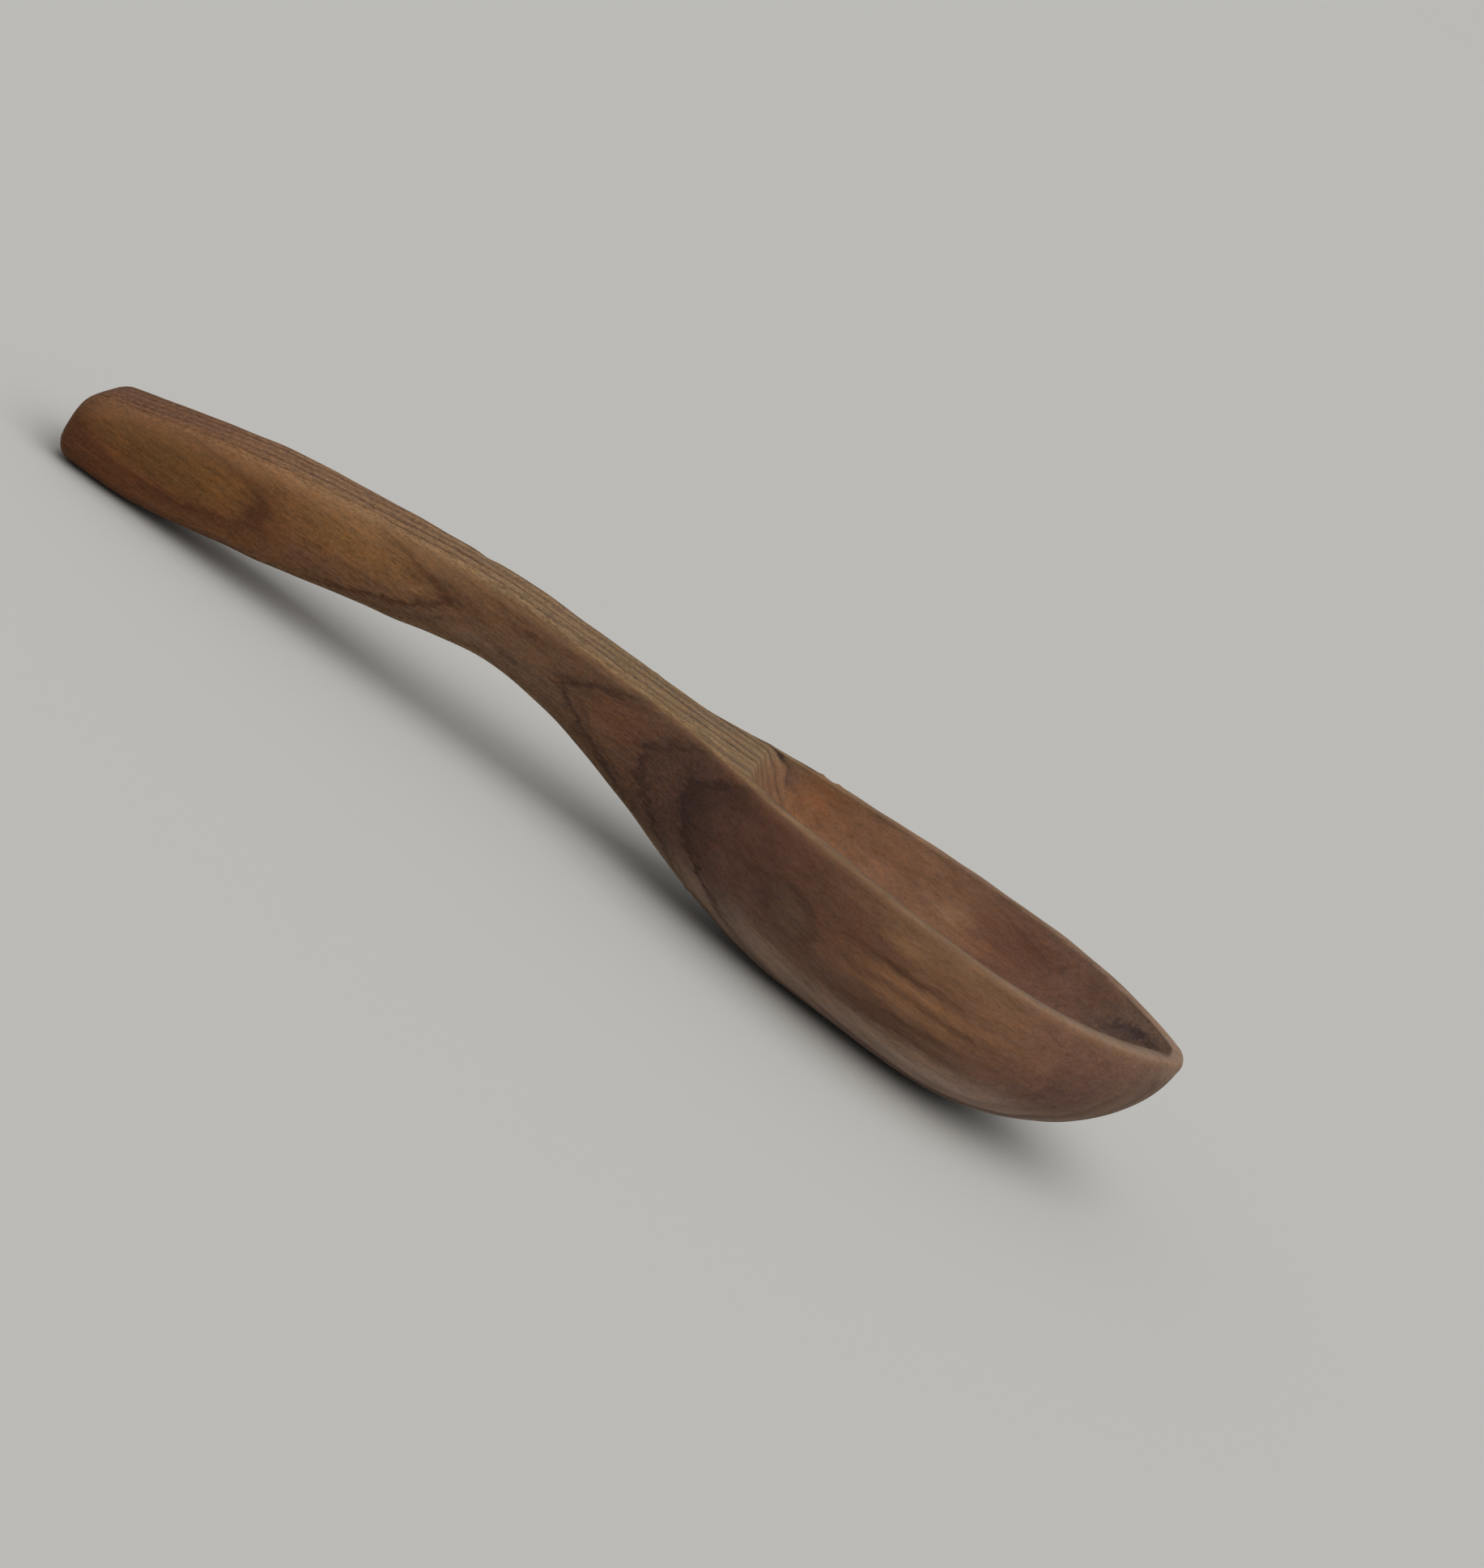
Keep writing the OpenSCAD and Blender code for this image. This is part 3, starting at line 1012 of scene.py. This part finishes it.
    stains_and_painted_light: tuple[Patch, ...] = (
        Patch((-29, -3.2, 4), (4.4, 2, 1.4), 8, (110, 80, 42), 0.5, 2),
        Patch((-25.5, -3, 6.7), (4.5, 1.6, 0.6), 10, (134, 92, 56), 0.55),
        Patch((-23.4, -3.2, 4.6), (0.8, 2, 0.8), 0, (66, 40, 28), 0.5),
        Patch((-20.5, -3.2, 4.1), (2.6, 2, 1), 10, (100, 64, 44), 0.5),
        Patch((-27, -3, 2.2), (4.6, 2.4, 0.7), 12, (92, 56, 38), 0.4),
        Patch((-26.5, -2.6, 1.1), (6, 2.4, 0.7), 12, (122, 84, 60), 0.5),
        Patch((-17.8, -3, 6.4), (3.8, 2, 1), 4, (134, 96, 56), 0.55, 1.6),
        Patch((-18, -2.8, 8), (6, 1.4, 0.45), 6, (146, 108, 68), 0.4),
        Patch((-14.5, -2.6, 4.7), (3, 1.6, 0.4), 22, (82, 60, 48), 0.5),
        Patch((-12.1, -2.6, 6.9), (0.8, 1.6, 0.45), 0, (74, 46, 34), 0.5),
        Patch((-7, -2.7, 6.25), (1.9, 1.6, 0.12), 1, (60, 40, 30), 0.55),
        # Lighter and greyer along the lower edge at the waist: painted reflection and bounce light from
        # below.
        Patch((-8, -2.6, 5.8), (3.6, 1.6, 0.8), 2, (122, 98, 80), 0.4),
        Patch((-10, -2.6, 8.35), (3.2, 1.2, 0.13), 1, (86, 54, 34), 0.5),
        Patch((-6.8, -2.6, 8.1), (2.4, 1.2, 0.15), 11, (76, 48, 34), 0.5),
        Patch((-3.9, -2.7, 7.65), (1.4, 1.6, 0.28), 20, (72, 46, 36), 0.5),
        Patch((-1.2, -3, 7.2), (1.7, 1.8, 1.2), -4, (112, 72, 46), 0.5, 1.5),
        Patch((4.9, -4.4, 5.9), (1.6, 2.4, 1.7), 20, (66, 48, 42), 0.5),
        Patch((1, -3.2, 6.4), (0.8, 1.8, 1.3), 0, (76, 50, 42), 0.35),
        Patch((8.9, -6, 5.8), (1.3, 3, 1.4), 0, (80, 54, 44), 0.35),
        # The next two make the bowl lighter and greyer low down: painted bounce light and sheen from below,
        # against the floor's contact shadow.
        Patch((10.4, -4.4, 1.8), (4.6, 3, 1.1), -8, (150, 128, 114), 0.55),
        Patch((14, -6.2, 3.9), (12, 3, 1.2), 0, (104, 82, 72), 0.3),
        Patch((12.4, -6.4, 5.1), (1.6, 2.6, 1), -15, (92, 74, 60), 0.6, 1.5),
        Patch((-15.5, -3, 4.6), (6, 2, 0.9), 10, (110, 86, 70), 0.35),
        Patch((8, -4.6, 8.9), (5, 2, 0.4), 1, (112, 72, 50), 0.4),
        # The next two make the bowl's underside lighter and greyer: painted bounce light and sheen from
        # below, against the floor's contact shadow.
        Patch((14, -4.6, 1.3), (14, 4.2, 1.2), 0, (164, 138, 116), 0.75),
        Patch((23.5, -4.2, 2), (7.5, 3.8, 1.4), 8, (172, 147, 130), 0.8),
        Patch((20.5, -7.3, 8.6), (4.5, 1.6, 0.5), 2, (152, 118, 84), 0.45),
        Patch((18.8, -7, 7.7), (1.6, 3, 0.35), 3, (152, 114, 76), 0.5),
        Patch((19.8, -7, 6.6), (2.8, 3, 0.22), 5, (66, 42, 30), 0.6),
        Patch((21, -7, 6.05), (4.6, 3, 0.34), 5, (154, 110, 74), 0.6),
        Patch((21.8, -7, 5.5), (4.4, 3, 0.13), 6, (84, 56, 38), 0.5),
        Patch((20, -7, 5), (4, 3, 0.3), 4, (154, 112, 78), 0.55),
        Patch((21.8, -6.6, 4.35), (3.6, 3, 0.2), 10, (70, 46, 34), 0.55),
        Patch((20.5, -6.4, 3.5), (5, 3, 0.55), 5, (84, 56, 44), 0.6),
        Patch((21.5, -5.6, 2.4), (3.2, 3, 0.4), 8, (138, 112, 84), 0.5),
        Patch((25.2, -6.6, 7.4), (2.3, 3, 1.2), 0, (146, 106, 76), 0.4),
        Patch((28.2, -6, 6.5), (0.9, 3, 0.6), 20, (142, 102, 76), 0.4),
        Patch((30.2, -4.8, 5.4), (3, 3.4, 1.5), 30, (98, 70, 62), 0.65),
        Patch((30.6, -4.6, 9.2), (2.6, 1.6, 0.3), 3, (146, 110, 84), 0.35),
        Patch((33.6, -1.4, 8), (0.8, 2, 1.4), 20, (104, 80, 70), 0.6),
        Patch((10, 5, 8.2), (1, 3, 1.6), 0, (150, 100, 62), 0.4),
        Patch((20.5, 6.6, 7), (1.1, 2, 0.75), 15, (158, 124, 92), 0.4, 1.5),
        Patch((31.5, 2.4, 8.15), (2.2, 3.4, 0.5), 33, (80, 70, 70), 0.5, 1.5),
        Patch((31.7, 2.8, 8.55), (1.6, 2, 0.22), 32, (60, 53, 56), 0.45, 1.5),
        Patch((32.7, 1.5, 8.95), (1.2, 1.5, 0.26), 18, (60, 53, 56), 0.6, 1.5),
        Patch((32.3, 2, 9.45), (1.8, 2.4, 0.4), 22, (160, 132, 112), 0.5),
        # Darker far rim: partly the rim's own olive line, partly painted shade that dims its lit top.
        Patch((28.6, 5, 9.8), (5, 2.6, 0.3), 4, (100, 82, 64), 0.5),
        # The next two lighten the far wall just under the rim: painted light against the shade of the rim's
        # lip.
        Patch((19, 6.6, 8.8), (9, 1.6, 0.6), 0, (158, 120, 92), 0.35),
        Patch((27.5, 5.2, 9.25), (6, 2.6, 0.4), 3, (150, 116, 98), 0.5),
        Patch((8.5, 6.4, 5.6), (3.4, 2.2, 2.6), 0, (66, 46, 36), 0.6),
        Patch((22, 7.2, 6.2), (5, 1, 0.4), 5, (152, 108, 72), 0.5),
        Patch((23, 7, 4.6), (4, 1.2, 0.3), 8, (84, 56, 42), 0.5),
        Patch((-18.6, -1.2, 8.05), (0.2, 0.3, 0.12), 0, (34, 22, 16), 0.9),
        Patch((-23.2, 0.3, 7.2), (0.22, 0.14, 0.3), 0, (34, 22, 16), 0.9),
        Patch((-7, -2.5, 8.95), (7, 0.14, 0.3), 0, (84, 52, 34), 0.5, 1.5),
        Patch((-19, -2.9, 8.1), (3, 0.3, 0.14), 4, (92, 56, 34), 0.4),
    )

    def warped(self, p: Tone) -> Tone:
        """Moves a place by a few noises, slow to fine, so that no line of the grain is drawn true.

        Args:
            p: Place in mm.

        Returns:
            The moved place.
        """
        for grain, reach in self.wander:
            centred = p.noise(grain, colour=True).vector("SUBTRACT", (0.5, 0.5, 0.5))
            p = p.vector("ADD", centred.scaled(reach))
        return p

    def layer_depth(self, p: Tone) -> Tone:
        """Depth through the growth layers: -y + tilt * x - bow * (z - middle)^2, with a little noise.

        Args:
            p: Place in mm.

        Returns:
            The depth in mm.
        """
        x, y, z = (p.part(axis) for axis in "XYZ")
        ripple = (p.noise(self.ripple) - 0.5) * self.layer_ripple
        return x * self.layer_tilt - y - (z - self.layer_middle) ** 2.0 * self.layer_bow + ripple

    def layer_lines(self, depth: Tone) -> Tone:
        """Late wood of the layers.

        It grows with the square of the way through each layer, and dies away at the start of the next.

        Args:
            depth: Depth through the layers in mm.

        Returns:
            The share of late wood, which is 1 at the end of each layer.
        """
        count = len(self.layer_edges) - 1
        stops = [(edge, (i / count,) * 3 + (1.0,)) for i, edge in enumerate(self.layer_edges)]
        ring = (depth.ramp(stops, "LINEAR") * count).fraction()
        return ring**2.0 + (ring * self.late_fall).bell() * self.late_left

    def figure_lines(self, q: Tone, faces: dict[Face, Tone]) -> Tone:
        """Late wood of the figures.

        Args:
            q: Place in mm.
            faces: How far the surface belongs to each face, from 0 to 1.

        Returns:
            The share of late wood.
        """
        parts = []
        for figure in self.figures:
            level = figure.level(q)
            lines = reduce(Tone.__add__, [band.line(level) for band in figure.bands])
            parts.append(lines * faces[figure.face])
        return reduce(Tone.__add__, parts)

    def material(self) -> bpy.types.Material:
        """Makes the material.

        The colour starts from the zones of the top, the flanks and the hollow, whose lighter colours are
        partly painted light, and from the patches of stained wood and of painted light or shade. Late wood
        darkens it along the layers and figures, and in flecks and pores. The noises vary its shade and its
        warmth, and the crests of the edges get a paler colour, partly wear and partly painted highlight.

        Returns:
            The material.
        """
        board = Board(self.name)
        p = board.add("ShaderNodeTexCoord", {}, {}, "Object").scaled((1 / MM,) * 3)
        q = self.warped(p)
        flank, scraped_and_lit, wear_and_highlight = (board.fac(name) for name in ("flank", "scraped_and_lit", "wear_and_highlight"))
        faces = {Face.NEAR: (flank * -1.0).rise(*self.side_step), Face.FAR: flank.rise(*self.side_step)}
        side = faces[Face.NEAR] + faces[Face.FAR]

        x = q.part("X")
        late = x.zones(self.late)
        lively = 1.0 - x.rise(*self.calm_step)
        fibres, cloud, speckle, hue = (
            p.noise(grain) - 0.5 for grain in (self.fibres, self.cloud, self.speckle, self.hue)
        )
        streaks = q.noise(self.streaks) - 0.5
        flecks = q.noise(self.flecks).rise(*self.fleck_step)
        pores = p.noise(self.pores).rise(*self.pore_step)

        # The hollow's zones come in through its mask: partly painted light against the shade inside the
        # hollow.
        colour = x.zones(self.top).mixed(side, x.zones(self.flank)).mixed(scraped_and_lit, x.zones(self.hollow))
        # Patches of colour: stained wood, and in places painted light or shade.
        for patch in self.stains_and_painted_light:
            colour = patch.lay(q, colour)

        bowl = x.rise(*self.bowl_step) * scraped_and_lit.larger(p.part("Z").rise(*self.rim_step))
        kept = (1.0 - wear_and_highlight * self.wear_loss) * (1.0 - scraped_and_lit * self.hollow_loss)
        along = (1.0 - side) * (1.0 - bowl) * kept
        depth = self.layer_depth(p)
        seasons = depth.noise(self.seasons) - 0.5
        strength = along * (seasons * self.seasons.lines + self.stripes) + self.least_stripes
        lines = self.layer_lines(depth) * strength + self.figure_lines(q, faces)
        uneven = 1.0 + streaks * self.streaks.lines + fibres * self.fibres.lines
        colour = colour.mixed(lines * uneven, late)
        colour = colour.mixed(flecks * (lively * self.lively_flecks + self.fleck_share), late)

        grain = fibres * self.fibres.shade + speckle * self.speckle.shade
        grain = grain * (self.grain_share + lively * (self.lively_grain + along * self.lively_stripes))
        shade = self.brightness + streaks * self.streaks.shade + cloud * self.cloud.shade + grain
        shade = shade + seasons * along * self.seasons.shade
        warmth = hue * (self.warmth + lively * self.lively_warmth)
        red, blue = 1.0 + warmth * self.warm_red, self.blue - warmth * self.warm_blue
        tint = board.add("ShaderNodeCombineColor", {}, {0: shade * red, 1: shade, 2: shade * blue})
        colour = colour.mixed(1.0, tint, Blend.MULTIPLY).mixed(pores * self.pores.shade, late)
        # Paler edge crests: partly wear, partly painted highlight.
        colour = colour.mixed(wear_and_highlight * self.wear_and_highlight_share, paint(*self.wear_and_highlight_colour))

        rough = self.roughness + cloud * self.cloud.dull + pores * self.pores.dull + wear_and_highlight * self.worn_dull
        height = fibres * self.fibres.height + pores * self.pores.height + streaks * self.streaks.height
        bump = {"Strength": self.bump, "Distance": self.bump_mm * MM, "Height": height}
        inputs = {
            "Base Color": colour,
            "Roughness": rough,
            "Normal": board.add("ShaderNodeBump", {}, bump),
            "Specular IOR Level": self.specular,
            "IOR": self.ior,
        }
        board.fill(board.shader, inputs)
        return board.result


@dataclass(frozen=True)
class FloorFinish:
    """Plain pale matt floor."""

    name: str = "pale_floor"
    colour: Colour = (187, 186, 182)
    roughness: float = 0.9
    specular: float = 0.2

    def material(self) -> bpy.types.Material:
        """Makes the material.

        Returns:
            The material.
        """
        board = Board(self.name)
        look = {"Roughness": self.roughness, "Specular IOR Level": self.specular}
        board.fill(board.shader, {"Base Color": paint(*self.colour), **look})
        return board.result


@dataclass(frozen=True)
class Studio:
    """Floor, soft light and camera. Sizes are in mm, and the camera stands where the photograph was taken."""

    floor_half: float = 6000.0
    floor_finish: FloorFinish = FloorFinish()
    fill_level: float = 0.42
    sky: Colour = (187, 186, 182)
    key_level: float = 0.58
    key_angle: float = 75.0
    key_from: Point = (0.3, -0.35, 0.9)
    aim: Point = (6.46, 0.0, 7.57)
    elevation: float = 16.1
    roll: float = 36.4
    distance: float = 200.0
    pixels_per_mm: float = 22.5
    sensor: float = 36.0
    clip: tuple[float, float] = (10.0, 50000.0)

    def floor(self) -> bpy.types.Object:
        """Lays the floor at z = 0.

        Returns:
            The floor.
        """
        half = self.floor_half * MM
        mesh = bpy.data.meshes.new("floor")
        corners = [(-half, -half, 0.0), (half, -half, 0.0), (half, half, 0.0), (-half, half, 0.0)]
        mesh.from_pydata(corners, [], [(0, 1, 2, 3)])
        mesh.materials.append(self.floor_finish.material())
        ground = placed("floor", mesh)
        return ground

    def light(self) -> bpy.types.Object:
        """Sets an even world and one wide, soft key, which together light a level surface at a level of 1.

        Returns:
            The key.
        """
        world = bpy.data.worlds.new("studio")
        bpy.context.scene.world = world
        world.use_nodes = True
        tree = world.node_tree
        background = tree.nodes["Background"]
        background.inputs["Color"].default_value = (1.0, 1.0, 1.0, 1.0)
        background.inputs["Strength"].default_value = self.fill_level
        seen = tree.nodes.new("ShaderNodeBackground")
        seen.inputs["Color"].default_value = paint(*self.sky)
        path = tree.nodes.new("ShaderNodeLightPath")
        either = tree.nodes.new("ShaderNodeMixShader")
        tree.links.new(path.outputs["Is Camera Ray"], either.inputs["Fac"])
        tree.links.new(background.outputs[0], either.inputs[1])
        tree.links.new(seen.outputs[0], either.inputs[2])
        tree.links.new(either.outputs[0], tree.nodes["World Output"].inputs["Surface"])

        towards = Vector(self.key_from).normalized()
        lamp = bpy.data.lights.new("key", "SUN")
        lamp.energy = self.key_level * math.pi / towards.z
        lamp.angle = math.radians(self.key_angle)
        key = placed("key", lamp)
        key.rotation_mode = "QUATERNION"
        key.rotation_quaternion = towards.to_track_quat("Z", "Y")
        return key

    def camera(self) -> bpy.types.Object:
        """Stands the camera at the photograph's viewing angle, rolled as the photograph was held.

        Returns:
            The camera.
        """
        rise, roll = math.radians(self.elevation), math.radians(self.roll)
        forward = Vector((0.0, math.cos(rise), -math.sin(rise)))
        right = Vector((1.0, 0.0, 0.0))
        up = right.cross(forward)
        side = right * math.cos(roll) + up * math.sin(roll)
        upright = up * math.cos(roll) - right * math.sin(roll)
        data = bpy.data.cameras.new("camera")
        data.sensor_width = self.sensor
        data.lens = self.pixels_per_mm * self.distance / max(PHOTO_WIDTH, PHOTO_HEIGHT) * self.sensor
        data.clip_start, data.clip_end = self.clip[0] * MM, self.clip[1] * MM
        camera = placed("camera", data)
        turn = Matrix((side, upright, -forward)).transposed().to_4x4()
        camera.matrix_world = Matrix.Translation((Vector(self.aim) - forward * self.distance) * MM) @ turn
        bpy.context.scene.camera = camera
        return camera

    def build(self) -> tuple[bpy.types.Object, ...]:
        """Makes the camera, the floor and the light."""
        bpy.context.scene.view_settings.view_transform = "Standard"
        return self.camera(), self.floor(), self.light()


def main() -> None:
    """Builds the studio and the spoon."""
    logging.basicConfig(level=logging.INFO, format="%(name)s: %(message)s")
    for thing in Studio().build():
        LOG.info("%s: %s", thing.name, thing.type.lower())
    piece = Spoon().build(WoodFinish())
    LOG.info("%s: %d points, %d faces", piece.name, len(piece.data.vertices), len(piece.data.polygons))


if __name__ == "__main__":
    main()
